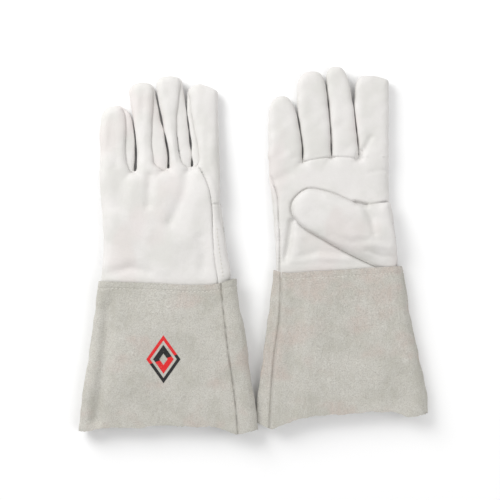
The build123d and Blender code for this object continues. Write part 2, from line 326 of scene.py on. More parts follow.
# ---------------------------------------------------------------- the gloves' measures
# Curves give x along y, from the wrist up. "ulnar" is the little finger's side, "radial" the thumb's.

PALM_SIDE = {"left": -1, "right": 1}  # which way the palm faces

HAND = {
    "left": curves(
        ulnar=[
            (-45, -149.4), (-28, -150.6), (-19, -150.2), (-9, -149.2), (11, -148.6), (31, -149.6),
            (67, -152.4), (90, -152.4),
        ],
        radial=[
            (-45, -22.6), (-33, -22.0), (-19, -22.2), (1, -26.0), (21, -29.8), (41, -32.8), (67, -33.4),
            (95, -32.8),
        ],
        top=[(-152, 78.6), (-117, 78.6), (-85, 81.2), (-60, 83.0), (-33, 84.0)],
        seam=[
            (-45, -33.4), (-29, -34.6), (-9, -37.4), (17, -39.4), (46, -40.6), (63, -43.6), (76, -49.0),
            (86, -55.5),
        ],
        level=[(-45, 14.4), (30, 14.3), (60, 13.6), (90, 11.6), (125, 9.0), (176, 7.0)],
        wrist=-38.0,
        cross_seam=46.6,
        gunn=[(-118, 79.6), (-85, 83.0), (-60, 83.6)],
        cuff_line=-31.0,
    ),
    "right": curves(
        ulnar=[(-30, 24.6), (-9, 23.6), (11, 23.0), (31, 21.4), (51, 19.6), (67, 18.0), (95, 15.8)],
        radial=[
            (-30, 143.0), (-20, 144.2), (-11, 145.2), (1, 144.8), (11, 143.6), (31, 140.0), (47, 136.8),
            (60, 136.5), (110, 136.5),
        ],
        top=[(16, 89.0), (50, 89.4), (80, 94.0), (107, 94.0), (136, 94.0)],
        seam=[(-30, 133.4), (-9, 131.6), (17, 130.0), (46, 128.8), (63, 125.6), (78, 118.0), (94, 108.5)],
        level=[(-30, 9.4), (60, 8.8), (110, 7.8), (176, 6.8)],
        wrist=-27.0,
        cross_seam=48.6,
        gunn=[(48, 88.6), (64, 91.8), (80, 93.8), (107, 92.6)],
        cuff_line=-18.0,
    ),
}
ULNAR_SEAM = spline([(80, -2.0), (74, 0.5), (61, 4.6), (30, 4.6), (0, 4.0), (-18, 3.2)])  # inside the edge

# Finger: its full width, its back panel's edge where that is narrower, and its tip
FINGERS = {
    "left": {
        "little": curves(
            ulnar=[(70, -152.5), (101, -152.6), (131, -152.0), (145, -151.0)],
            radial=[(70, -118.6), (90, -118.2), (121, -119.0), (136, -121.5), (145, -124.5)],
            panel=[(79, -121.0), (91, -124.2), (111, -125.3), (136, -125.3), (145, -126.0)],
            tip=145.4, cap=13.0,
        ),
        "ring": curves(
            ulnar=[
                (79, -116.4), (91, -115.6), (111, -116.4), (131, -119.4), (146, -122.2), (156, -123.4),
                (168, -123.4),
            ],
            radial=[(83, -85.0), (96, -84.8), (111, -87.4), (131, -91.6), (146, -95.0), (168, -97.0)],
            panel=[
                (81, -89.0), (86, -95.0), (96, -98.0), (111, -99.2), (131, -98.9), (146, -98.3),
                (168, -98.0),
            ],
            tip=168.8, cap=12.0,
        ),
        "middle": curves(
            ulnar=[
                (85, -83.0), (99, -83.8), (111, -86.2), (126, -89.4), (141, -92.6), (156, -95.6),
                (166, -97.0), (175, -97.0),
            ],
            radial=[(85, -61.4), (96, -61.8), (111, -63.2), (131, -65.8), (151, -67.6), (166, -69.8)],
            panel=[
                (82, -62.0), (88, -68.2), (96, -71.0), (111, -73.6), (131, -74.2), (151, -72.6),
                (166, -71.6),
            ],
            tip=175.4, cap=9.5,
        ),
        "index": curves(
            ulnar=[(86, -59.8), (96, -60.0), (111, -61.4), (131, -64.2), (146, -65.6), (168, -65.6)],
            radial=[(81, -32.6), (101, -33.2), (121, -34.0), (141, -34.8), (168, -35.4)],
            panel=[
                (83, -58.4), (88, -55.4), (96, -54.8), (111, -57.4), (131, -61.4), (146, -62.8),
                (158, -64.6), (168, -65.6),
            ],
            tip=168.0, cap=13.0, slope=0.35,
        ),
    },
    "right": {
        "little": curves(
            ulnar=[(80, 16.6), (101, 15.8), (121, 15.5), (141, 16.4), (155, 17.0)],
            radial=[(89, 50.0), (103, 50.0), (121, 47.6), (142, 43.4), (155, 41.0)],
            tip=155.2, cap=19.0,
        ),
        "ring": curves(
            ulnar=[
                (89, 50.3), (103, 50.4), (121, 48.0), (131, 46.6), (142, 45.0), (151, 44.4), (166, 44.8),
                (180, 46.0),
            ],
            radial=[(94, 79.2), (121, 78.2), (151, 75.7), (174, 72.8), (181, 72.4)],
            tip=180.6, cap=15.0,
        ),
        "middle": curves(
            ulnar=[(94, 79.5), (121, 78.5), (151, 76.0), (174, 73.6), (185, 73.6)],
            radial=[(94, 106.4), (101, 106.2), (126, 103.4), (151, 100.6), (166, 97.4), (185, 92.0)],
            tip=185.6, cap=13.0,
        ),
        "index": curves(
            ulnar=[
                (94, 106.8), (111, 105.6), (121, 104.4), (136, 102.8), (148, 101.8), (158, 102.6),
                (176, 105.0),
            ],
            radial=[(60, 136.5), (176, 136.7)],
            tip=176.6, cap=13.0, square=3.6, slope=0.22,
        ),
    },
}

# Soft folds: polyline, width, height. Those of the thumb and cuffs are listed the same way.
FOLDS = {
    "left": [
        ([(-102.5, 74), (-103.5, 46)], 4.6, -1.6),
        ([(-64.5, 78), (-68, 62), (-74, 44), (-82, 28)], 5.5, -1.6),
        ([(-131, 74), (-134, 44)], 7.0, -0.7),
        ([(-118, 68), (-120, 36)], 8.0, 0.5),
        ([(-88, 72), (-90, 36)], 8.0, 0.6),
        ([(-52, 62), (-58, 36), (-64, 10)], 8.0, 0.6),
        ([(-140, -26), (-122, -18), (-104, -24)], 6.5, -2.2),
        ([(-52, 12), (-47, -2), (-50, -24)], 6.0, -1.4),
        ([(-78, 6), (-84, -20)], 10.0, 0.6),
    ],
    "right": [
        ([(39, 29), (36.5, 10), (32.5, -14)], 3.4, -3.4),
        ([(46, 12), (43, -10)], 5.5, 0.9),
        ([(103, 48.5), (114, 46)], 2.4, -3.0),
        ([(40, -13), (66, -7), (96, -10)], 4.5, 1.6),
        ([(46, -8), (66, -1), (90, -3)], 4.5, -1.0),
        ([(105.5, 92), (111, 100), (118, 113)], 3.2, -1.5),
        ([(118, 79), (136, 81)], 2.6, -0.5),
        ([(22, 71), (36, 77)], 5.0, -0.8),
        ([(111, 64), (124, 46)], 6.0, -0.7),
        ([(52, 84), (64, 70), (66, 56)], 8.0, -0.5),
        ([(30, 62), (27, 20)], 6.0, 0.5),
    ],
}
THUMB_FOLDS = [
    ([(111, 44), (118, 32), (121, 18)], 3.6, -1.5),
    ([(78, 15), (98, 9), (122, 12)], 4.4, -1.1),
    ([(70, 46), (92, 38)], 9.0, 0.5),
    ([(114, 0), (128, -6), (138, -6)], 3.0, -1.8),
    ([(118, 6), (136, 3)], 4.0, 1.0),
]
TABLE = 0.12  # lowest level of the leather
HAND_HEIGHT = (6.7, 6.3)  # half depth above and below its middle
PALM_HEIGHT = {"left": 6.3, "right": 6.7}
FINGER_RIM = 10.0
PILLOW_POWER = {"left": ROUNDING, "right": 2.8}  # how square the fingers are in section
STRIP_HEIGHT = 3.4  # half depth of the finger side strips
STUB = 2.2  # from the crotch line to where a finger's own panels begin
JOIN = (62.0, 76.0)  # where the finger roots fade into the hand
JOIN_BLEND = 3.0  # softness of that join
GAP_FOOT = 84.0  # lowest Y at which the gaps between the fingers are measured
FINGER_NAMES = ("little", "ring", "middle", "index")

# Thumb of the right glove, lying on the palm with its tip towards the little finger
THUMB_SHIFT = {"left": (-169.4, -2.0), "right": (0.0, 0.0)}
THUMB_UPPER = spline([
    (38, 57.0), (58, 62.2), (70, 60.4), (82, 56.8), (96, 50.6), (104, 47.6), (112, 46.0), (122, 47.4),
    (136, 48.6), (150, 49.0),
])
THUMB_LOWER = spline([(38, 28.0), (58, 18.4), (66, 14.0), (88, 1.4), (115, -12.0), (150, -27.0)])
THUMB_TIP = 38.6
THUMB_CAP = 20.0
THUMB_CROTCH = 112.0
THUMB_ABOVE = 5.2  # half depth of the thumb above and below its widest level
THUMB_BELOW = 2.0
THUMB_PRESS = 4.4  # how far its root presses into the palm at the cuff
THUMB_TUCK = 3.0  # how far its leather reaches under the cuff
THUMB_EDGE = 5.0  # width of the strip of thumb leather at the hand's edge

# Cuff: its sides, its top edge and hem, and the seams where its two panels meet
CUFF = {
    "left": curves(
        ulnar=[(-28, -153.4), (-69, -158.6), (-129, -167.4), (-172, -173.4), (-185, -174.4)],
        radial=[(-26, -18.0), (-34, -17.6), (-69, -12.6), (-109, -5.6), (-168, 1.6), (-185, 2.2)],
        top=[(-154, -30.0), (-94.5, -32.0), (-60.5, -33.6), (-35.5, -32.4), (-18, -27.6)],
        hem=[
            (-173, -180.0), (-160, -178.6), (-144.5, -176.0), (-114.5, -176.2), (-94.5, -173.6),
            (-60, -175.0), (-35.5, -175.4), (-14.5, -182.0), (2, -178.0),
        ],
        radial_seam=[(-26, -31.8), (-40, -30.5), (-89, -25.4), (-149, -17.2), (-183, -14.2)],
        ulnar_seam=[(-30, -145.0), (-80, -150.0), (-185, -158.0)],
        level=[(-28, 14.8), (-60, 13.6), (-130, 10.4), (-182, 9.4)],
    ),
    "right": curves(
        ulnar=[(-17, 21.8), (-74, 14.6), (-120, 8.6), (-169, 2.2), (-180, 1.2)],
        radial=[(-13, 147.4), (-61, 155.6), (-105, 164.4), (-148, 172.6), (-165, 173.2)],
        top=[(21, -19.0), (29, -21.0), (60, -20.2), (87.5, -18.8), (125.5, -16.2), (148, -15.0)],
        hem=[
            (2, -170.0), (16.6, -177.0), (36.6, -170.2), (60, -164.2), (87.5, -163.0), (125.5, -160.2),
            (146.5, -162.0), (154, -165.0), (173, -162.4),
        ],
        radial_seam=[(-14, 134.0), (-74, 142.0), (-180, 156.0)],
        ulnar_seam=[(-19, 29.0), (-66, 27.4), (-111, 21.6), (-177, 17.4)],
        level=[(-18, 9.6), (-165, 9.4)],
    ),
}
CUFF_FOLDS = {
    "left": [
        ([(-142, -40), (-147, -110), (-156, -168)], 6.5, -4.0),
        ([(-60, -60), (-64, -120)], 16.0, 0.7),
        ([(-110, -150), (-60, -158)], 12.0, -0.6),
        ([(-36, -70), (-30, -130)], 7.0, -0.5),
    ],
    "right": [
        ([(60, -50), (52, -120)], 15.0, 0.7),
        ([(100, -140), (140, -150)], 12.0, -0.6),
        ([(120, -60), (128, -120)], 12.0, 0.6),
        ([(42, -60), (40, -110), (38, -158)], 9.0, -1.6),
    ],
}
CUFF_HALF = 8.7
CUFF_RIM = 13.0
STITCH_INSET = 6.6  # from the cuff's top edge to its row of stitches
EMBLEM_CENTRE = (-88.5, -107.5)
EMBLEM_HALF = (17.0, 24.0)
EMBLEM_RINGS = (1.0, 0.78, 0.6, 0.24)  # its bands' edges, as shares of its half size
PRINT_LIFT = 0.14
PRINT_THICKNESS = 0.1


# ---------------------------------------------------------------- hand and fingers


def capped(across, along, low, high, tip, cap, power=ROUNDING):
    """Plan distance outside a finger form: low(along) < across < high(along), with a rounded end at tip."""
    bottom, top = low(along), high(along)
    half = (top - bottom) / 2
    side = np.abs(across - (bottom + top) / 2) / half
    end = np.clip((along - (tip - cap)) / cap, 0, None)
    return ((side**power + end**power) ** (1 / power) - 1) * half


def finger_plan(glove, name, x, y, panel=False):
    """Plan distance outside a finger, or outside its back panel."""
    f = FINGERS[glove][name]
    ulnar, radial, tip, cap = f["ulnar"], f["radial"], f["tip"], f["cap"]
    if panel and "panel" in f:
        if name == "index":
            ulnar = f["panel"]
        else:
            radial = f["panel"]
    d = capped(x, y, ulnar, radial, tip, cap, f.get("square", ROUNDING))
    if "slope" in f:
        slanted = y - tip + 0.5 + f["slope"] * (x - f["radial"](y) + 15.0)
        d = smooth_max(d, 0.9 * slanted, 3.0)
    fade = np.clip((JOIN[1] - y) / (JOIN[1] - JOIN[0]), 0, None)
    return d + JOIN_BLEND * fade**2


def palm_plan(glove, x, y, lip=0.0):
    """Plan distance outside the hand below the crotches, which may reach a little into them."""
    h = HAND[glove]
    sides = np.maximum(h["ulnar"](y) - x, x - h["radial"](y))
    fade = np.clip((y - JOIN[0]) / (JOIN[1] - JOIN[0]), 0, 1)
    return np.maximum(sides + JOIN_BLEND * fade**2, y - h["top"](x) - lip)


def side_level(glove, y, z):
    """Height above the glove's middle surface, positive towards the palm."""
    return PALM_SIDE[glove] * (z - HAND[glove]["level"](y))


def groove(s, depth=SEAM_DEPTH, width=SEAM_WIDTH):
    return -depth * np.exp(-np.abs(s) / width)


def pucker(s, along, pitch=3.6, height=0.07, reach=2.2):
    """Small ripples beside a seam, where its stitches draw the leather in."""
    return height * np.sin(2 * math.pi * along / pitch) * np.exp(-np.abs(s) / reach)


RELIEF = {
    "left": (waves(3, 42), waves(4, 15)),
    "right": (waves(13, 42), waves(14, 15)),
}


def thumb_plan(glove, x, y):
    """Plan distance outside the folded thumb, and the place in the right thumb's own measures."""
    tx, ty = x - THUMB_SHIFT[glove][0], y - THUMB_SHIFT[glove][1]
    body = capped(ty, -tx, lambda a: THUMB_LOWER(-a), lambda a: THUMB_UPPER(-a), -THUMB_TIP, THUMB_CAP)
    return body, tx, ty


def root_seam(glove, x, side):
    """Where the seam across the thumb's root lies along Y, on the palm side and on the back."""
    shift_x, shift_y = THUMB_SHIFT[glove]
    return np.where(side > 0, THUMB_UPPER(x - shift_x) + shift_y, HAND[glove]["cross_seam"])


def off_cuff(ty):
    """How far a place on the thumb is from the cuff: 0 under its edge, 1 where the thumb is full."""
    return smoothstep((ty + 18.0) / 34.0)


def thumb_dent(glove, x, y):
    """How far the thumb's root presses into the palm near the cuff."""
    body, tx, ty = thumb_plan(glove, x, y)
    near_cuff = 1 - off_cuff(ty)
    return THUMB_PRESS * near_cuff * smoothstep((4.0 - body) / 6.0) * smoothstep((150.0 - tx) / 6.0)


def hand_relief(glove, x, y, palm):
    """Folds, ripples and seams on the palm side (palm true) or on the back of the hand."""
    h = HAND[glove]
    broad, fine = RELIEF[glove]
    shown = palm == (PALM_SIDE[glove] > 0)
    relief = 0.4 * broad(x, y) + 0.09 * fine(x, y)
    for points, width, height in FOLDS[glove]:
        relief = relief + (height if shown else 0.3 * height) * stroke(x, y, points, width)
    relief = relief * smoothstep((y - h["cuff_line"] - 2) / 14)
    if palm:
        relief = relief - thumb_dent(glove, x, y) - 0.9 * np.exp(-((thumb_plan(glove, x, y)[0] / 1.6) ** 2))
        s = x - h["ulnar"](y) - ULNAR_SEAM(y)
        low = smoothstep((80 - y) / 10)
        relief = relief + low * (groove(s, 1.8, 0.9) + pucker(s, y))
        s = y - h["gunn"](x)
        first = (FINGERS[glove]["little"]["radial"](90.0) + FINGERS[glove]["ring"]["ulnar"](90.0)) / 2
        last = (FINGERS[glove]["middle"]["radial"](92.0) + FINGERS[glove]["index"]["ulnar"](92.0)) / 2
        inside = smoothstep((x - first + 1) / 2) * smoothstep((last + 1 - x) / 2)
        return relief + inside * (groove(s, 1.5, 0.9) + pucker(s, x))
    s = x - h["seam"](y)
    low = smoothstep((h["top"](x) + 2 - y) / 4)
    relief = relief + low * (groove(s, 1.7, 0.8) + pucker(s, y))
    doubled = np.exp(-(((s - 5.0) / 2.6) ** 2)) * smoothstep((y - h["cross_seam"]) / 3) * low
    relief = relief + 0.45 * doubled
    cross = y - h["cross_seam"]
    return relief + smoothstep(s / 1.5) * groove(cross, 0.7, 0.8)


def strip_half(f, y):
    """Half width of the side strips, as a share of the finger's depth, closing near the tip."""
    return 0.30 * (1 - smoothstep((y - (f["tip"] - f["cap"] - 6)) / 9)) + 1e-3


def finger_base(glove, x, y):
    """Distance above the line where the fingers' own panels begin."""
    return y - HAND[glove]["top"](x) - STUB


def finger_relief(glove, name, x, y, z):
    """Seams along a finger's side strips, and soft ripples."""
    f = FINGERS[glove][name]
    share = side_level(glove, y, z) / HAND_HEIGHT[0]
    middle = (f["ulnar"](y) + f["radial"](y)) / 2
    above = smoothstep((finger_base(glove, x, y) + 2) / 5)
    relief = 0.25 * RELIEF[glove][1](x * 1.3, y * 0.8)
    for side, sewn in ((-1, name != "little"), (1, name != "index")):
        if sewn:
            s = (np.abs(share) - strip_half(f, y)) * HAND_HEIGHT[0]
            here = (x - middle) * side > 0
            if "panel" in f and (side < 0) == (name == "index"):
                here = here & (share > 0)
            relief = relief + np.where(here, groove(s, 0.5, 0.8), 0)
    if name == "little":
        s = (share - 0.05) * HAND_HEIGHT[0]
        relief = relief + np.where(x < middle, groove(s, 0.5, 0.8), 0)
    return relief * above


def hand_forms(glove, names, x, y, z):
    """The hand with those fingers as two forms: the panels above, and the lower side strips."""
    h = HAND[glove]
    up, down = HAND_HEIGHT
    upper = lower = 1e3
    for name in names:
        upper = np.minimum(upper, finger_plan(glove, name, x, y, True))
        lower = np.minimum(lower, finger_plan(glove, name, x, y))
    upper = smooth_min(upper, palm_plan(glove, x, y), JOIN_BLEND)
    lower = smooth_min(lower, palm_plan(glove, x, y, 1.2), 1.5)
    dz = z - h["level"](y)
    into_cuff = 1 - 0.10 * smoothstep((h["cuff_line"] + 4 - y) / 9)
    rim = FINGER_RIM + 5.0 * smoothstep((h["top"](x) + 4 - y) / 30)
    shown = smoothstep((upper - lower - 0.6) / 1.6)
    power = np.where(y > h["top"](x), PILLOW_POWER[glove], ROUNDING)
    return (
        pillow(upper, rim, up * into_cuff, down * into_cuff, dz, power),
        pillow(lower, FINGER_RIM, STRIP_HEIGHT, down * into_cuff * 0.97, dz),
        shown,
    )


def hand_field(glove, names):
    """The hand's outer face with those fingers, as a field that is negative inside."""
    stripped = glove == "left"

    def field(x, y, z):
        panels, strips, shown = hand_forms(glove, names, x, y, z)
        side = side_level(glove, y, z)
        relief = np.where(side > 0, hand_relief(glove, x, y, True), hand_relief(glove, x, y, False))
        relief = relief * smoothstep(np.abs(side) / 2.5)
        value = panels - relief
        if stripped:
            crease = np.exp(-np.abs(panels - strips) / 0.7) * (z > HAND[glove]["level"](y))
            value = np.minimum(value, strips) + 0.8 * crease * shown
        for name in names:
            f = FINGERS[glove][name]
            near = (x > f["ulnar"](y) - 1) & (x < f["radial"](y) + 1) & (finger_base(glove, x, y) > -4)
            value = value - np.where(near, finger_relief(glove, name, x, y, z), 0)
        return on_table(value, z)

    return field


def on_table(value, z):
    """The form, flattened where it rests on the table."""
    return smooth_max(value, TABLE - z, 0.8)


def meshed(field, low, high, cell):
    v, t = surface_net(field, low, high, cell)
    v = project(field, v, 2)
    return relax(field, v, t), t


def cut_all(field, v, t, levels, cell, seams=()):
    """Cuts along levels, and also a little to each side of the seams, so that their grooves are crisp."""
    for level in levels:
        v, t = cut(v, t, level, 0.3 * cell)
    for seam in seams:
        for offset in SEAM_LINES:
            v, t = cut(v, t, lambda x, y, z: seam(x, y, z) - offset, 0.12)
    return project(field, v, 1, 0.3), t


def kept(v, t, region):
    """The triangles whose middle lies in the region."""
    return t[region(*v[t].mean(1).T)]


def gaps(glove, y):
    """The gaps' middles, from the little finger. Below GAP_FOOT they run on straight."""
    f = FINGERS[glove]
    y = np.maximum(y, GAP_FOOT)
    pairs = zip(FINGER_NAMES[:-1], FINGER_NAMES[1:])
    return [(f[a]["radial"](y) + f[b]["ulnar"](y)) / 2 for a, b in pairs]


def gap_level(glove, index):
    return lambda x, y, z: x - gaps(glove, y)[index]


def territory(glove, x, y):
    """0 to 3: the finger whose stretch of the hand that is."""
    return sum((x > gap).astype(int) for gap in gaps(glove, y))


def hand_levels(glove):
    """The hand's seams and ends, each as a level that is zero there."""
    h = HAND[glove]
    return SimpleNamespace(
        side=lambda x, y, z: side_level(glove, y, z),
        gunn=lambda x, y, z: y - h["gunn"](x),
        radial=lambda x, y, z: x - h["seam"](y),
        ulnar=lambda x, y, z: x - h["ulnar"](y) - ULNAR_SEAM(y),
        wing=lambda x, y, z: x - h["radial"](y) + THUMB_EDGE,
        cross=lambda x, y, z: y - root_seam(glove, x, side_level(glove, y, z)),
        wrist=lambda x, y, z: y - h["wrist"],
        base=lambda x, y, z: finger_base(glove, x, y),
    )


def declare(piece, node):
    """Hides the panel's part from the model and gives the piece its material."""
    kind = node.split("_", 1)[1]
    slot, material = ("suede", SUEDE_LEATHER) if kind.startswith("cuff") else ("goatskin", GOATSKIN)
    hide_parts(node)
    piece.data.materials.append(material)
    return piece


def hand_panels(glove):
    """The hand's back, its palm and the thumb's wing."""
    h = HAND[glove]
    field = hand_field(glove, FINGER_NAMES)
    low = (float(h["ulnar"](40.0)) - 9, h["wrist"] - 3, -2.0)
    high = (float(h["radial"](-20.0)) + 5, 102.0, 25.0)
    v, t = meshed(field, low, high, CELL["hand"])

    at = hand_levels(glove)
    levels = [at.side, at.radial, at.ulnar, at.wing, at.cross, at.gunn, at.wrist, at.base]
    levels += [gap_level(glove, index) for index in range(3)]
    v, t = cut_all(field, v, t, levels, CELL["hand"], [at.radial, at.ulnar, at.cross, at.gunn])

    def in_hand(*p):
        fronts = np.isin(territory(glove, p[0], p[1]), (1, 2)) & (at.side(*p) > 0) & (at.gunn(*p) > 0)
        return (at.wrist(*p) > 0) & (at.base(*p) < 0) & ~fronts

    def in_back(*p):
        s = at.side(*p)
        return ((s < 0) & (at.radial(*p) < 0)) | ((s > 0) & (at.ulnar(*p) < 0))

    def in_wing(*p):
        return ~in_back(*p) & (at.cross(*p) < 0) & ((at.side(*p) < 0) | (at.wing(*p) > 0))

    back = kept(v, t, lambda *p: in_hand(*p) & in_back(*p))
    thumb_wing = kept(v, t, lambda *p: in_hand(*p) & in_wing(*p) & (at.side(*p) < 0))
    palm = kept(v, t, lambda *p: in_hand(*p) & ~in_back(*p) & ~in_wing(*p))
    for name, triangles in (("hand_back", back), ("palm", palm), ("thumb_wing", thumb_wing)):
        piece = leather_panel(f"{glove}_{name}_leather", field, v, triangles, LEATHER)
        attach(declare(piece, f"{glove}_{name}"), f"{glove}_hand")
    return field


def finger_panels(glove, name):
    """A finger's front, back and side strips, from the finger's base to its tip."""
    f = FINGERS[glove][name]
    h = HAND[glove]
    order = FINGER_NAMES.index(name)
    field = hand_field(glove, (name,))
    heights = np.linspace(88, f["tip"], 12)
    crotch = min(float(h["top"](f["ulnar"](88.0))), float(h["top"](f["radial"](88.0))))
    low = (float(f["ulnar"](heights).min()) - 3, crotch - 5, -2.0)
    high = (float(f["radial"](heights).max()) + 3, f["tip"] + 3, 24.0)
    v, t = meshed(field, low, high, CELL["finger"])
    end = f["tip"] - f["cap"] + 3

    def share(x, y, z):
        return side_level(glove, y, z) / HAND_HEIGHT[0]

    def strip_front(x, y, z):
        return share(x, y, z) - strip_half(f, y)

    def strip_back(x, y, z):
        return share(x, y, z) + strip_half(f, y)

    def middle(x, y, z):
        return x - (f["ulnar"](y) + f["radial"](y)) / 2

    def crease(x, y, z):
        panels, strips, _ = hand_forms(glove, (name,), x, y, z)
        return panels - strips

    at = hand_levels(glove)
    levels = [share, strip_front, strip_back, at.base, at.gunn, middle, lambda x, y, z: y - end]
    levels += [gap_level(glove, index) for index in (order - 1, order) if 0 <= index < 3]
    if "panel" in f:
        levels.append(crease)
    v, t = cut_all(field, v, t, levels, CELL["finger"])

    def label(x, y, z):
        p = share(x, y, z)
        half = strip_half(f, y)
        radial_side = middle(x, y, z) > 0
        sewn = (radial_side & (name != "index")) | (~radial_side & (name != "little"))
        strip = np.abs(p) < half
        if "panel" in f:
            towards_panel = ~radial_side if name == "index" else radial_side
            seen = (crease(x, y, z) > 0) & (p < 0)
            strip = np.where(towards_panel, seen | ((p > 0) & (p < half)), strip)
        strip = strip & sewn & (y < end)
        front = p > 0
        which = np.where(strip, np.where(radial_side, 3, 2), np.where(front, 1, 0))
        started = at.base(x, y, z) > 0
        if name in ("ring", "middle"):
            started |= (p > 0) & (at.gunn(x, y, z) > 0)
        return np.where(started & (territory(glove, x, y) == order), which, -1)

    which = label(*v[t].mean(1).T)
    groups = {"back": which == 0, "front": which == 1}
    if name == "index":
        groups = {"cover": (which == 0) | (which == 1), "fourchette": which == 2}
    elif name == "little":
        groups["fourchette"] = which == 3
    else:
        groups["ulnar_fourchette"] = which == 2
        groups["radial_fourchette"] = which == 3
    x = float(f["ulnar"](95.0) + f["radial"](95.0)) / 2
    knuckle = float(h["top"](x)) + STUB + 1.0
    for kind, mask in groups.items():
        node = f"{glove}_{name}_{kind}"
        piece = leather_panel(f"{node}_leather", field, v, t[mask], LEATHER)
        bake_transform(declare(piece, node))


# ---------------------------------------------------------------- thumb


def thumb_forms(glove, x, y, z):
    """The folded thumb and the strip of the hand at its fold, with the thumb's widest level."""
    h = HAND[glove]
    body, tx, ty = thumb_plan(glove, x, y)
    edge = tx - HAND["right"]["radial"](ty) + 1.5
    plan = smooth_max(body, edge, 3.0)
    grown = off_cuff(ty)
    sewn = smoothstep((tx - 106.0) / 14.0) * smoothstep((ty - 20.0) / 16.0)
    below = THUMB_BELOW * (0.5 + 0.5 * grown) * (1 - 0.9 * sewn)
    widest = PALM_HEIGHT[glove] + 0.15 + hand_relief(glove, x, y, True) + below
    relief = 0.15 * RELIEF[glove][1](x * 0.8, y * 0.8)
    for points, width, height in THUMB_FOLDS:
        relief = relief + height * stroke(tx, ty, points, width)
    p = side_level(glove, y, z) - widest
    above = THUMB_ABOVE * (0.55 + 0.45 * grown) + relief * grown
    thumb = pillow(plan, 12.0, above, THUMB_BELOW, p)
    strip = np.maximum(hand_field(glove, ("index",))(x, y, z), h["radial"](y) - 16.0 - x)
    return thumb, strip, p


def thumb_panels(glove):
    """The thumb's outer leather, which turns the hand's edge, and its inner leather against the palm."""
    h = HAND[glove]
    shift_x, shift_y = THUMB_SHIFT[glove]

    def field(x, y, z):
        thumb, strip, _ = thumb_forms(glove, x, y, z)
        near_edge = smoothstep((x - h["radial"](y) + 16.0) / 10.0)
        softness = 0.1 + 5.0 * near_edge * (0.1 + 0.9 * off_cuff(y - shift_y))
        return on_table(smooth_min(thumb, strip, softness), z)

    low = (THUMB_TIP + shift_x - 3, h["wrist"] - 3, -2.0)
    high = (float(h["radial"](-20.0)) + 4, 66.0 + shift_y, 26.0)
    v, t = meshed(field, low, high, CELL["thumb"])

    at = hand_levels(glove)

    def outmost(x, y, z):
        thumb, strip, _ = thumb_forms(glove, x, y, z)
        return thumb - strip

    def widest(x, y, z):
        return thumb_forms(glove, x, y, z)[2]

    def wrist(x, y, z):
        return y - CUFF[glove]["top"](x) + THUMB_TUCK

    v, t = cut_all(field, v, t, [at.side, at.cross, at.wing, outmost, widest, wrist], CELL["thumb"])

    def common(*p):
        root = p[0] > THUMB_CROTCH + shift_x
        return (wrist(*p) > 0) & ~(root & (at.cross(*p) > 0)) & (at.side(*p) > 0)

    def outer(*p):
        return common(*p) & ((at.wing(*p) > 0) | ((outmost(*p) < 0) & (widest(*p) > 0)))

    def inner(*p):
        return common(*p) & (at.wing(*p) < 0) & (outmost(*p) < 0) & (widest(*p) < 0)

    for kind, region in (("outer", outer), ("inner", inner)):
        node = f"{glove}_thumb_{kind}"
        piece = leather_panel(f"{node}_leather", field, v, kept(v, t, region), LEATHER)
        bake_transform(declare(piece, node))


# ---------------------------------------------------------------- cuff

CUFF_WAVES = {
    "left": (waves(21, 85), waves(22, 20)),
    "right": (waves(31, 85), waves(32, 20)),
}
HEM_WAVES = (waves(41, 14), waves(42, 4))
CUFF_STEP = {"left": 0.6, "right": 3.0}  # height of the step at the little finger's side seam


def cuff_relief(glove, x, y, palm):
    """Folds, seams and the doubled top band of a cuff's palm face (palm true) or its back."""
    c = CUFF[glove]
    broad, fine = CUFF_WAVES[glove]
    down = smoothstep((c["top"](x) - y) / 30)
    relief = (0.9 * broad(x, y) + 0.16 * fine(x, y)) * down
    if palm == (PALM_SIDE[glove] > 0):
        for points, width, height in CUFF_FOLDS[glove]:
            relief = relief + height * down * stroke(x, y, points, width)
    s = y - c["top"](x) + STITCH_INSET
    relief = relief + groove(s, 0.35, 0.9) + 0.12 * smoothstep(s / 1.5)
    if palm:
        s = x - c["ulnar_seam"](y)
        return relief - CUFF_STEP[glove] * smoothstep(0.5 - s / 2.4) + groove(s, 3.4, 1.1) + pucker(s, y)
    s = x - c["radial_seam"](y)
    raised = 1.8 * smoothstep(s / 2.0)
    return relief + raised + groove(s, 2.6, 0.9) + pucker(s, y, 4.2, 0.12, 1.6)


def cuff_level(glove, y, z):
    return PALM_SIDE[glove] * (z - CUFF[glove]["level"](y))


def cuff_field(glove):
    c = CUFF[glove]

    def field(x, y, z):
        plan = np.maximum(c["ulnar"](y) - x, x - c["radial"](y))
        plan = plan + 0.5 * HEM_WAVES[0](y, y * 0.3)
        dz = z - c["level"](y)
        value = pillow(plan, CUFF_RIM, CUFF_HALF, CUFF_HALF, dz)
        side = cuff_level(glove, y, z)
        relief = np.where(side > 0, cuff_relief(glove, x, y, True), cuff_relief(glove, x, y, False))
        return on_table(value - relief * smoothstep(np.abs(side) / 3.0), z)

    return field


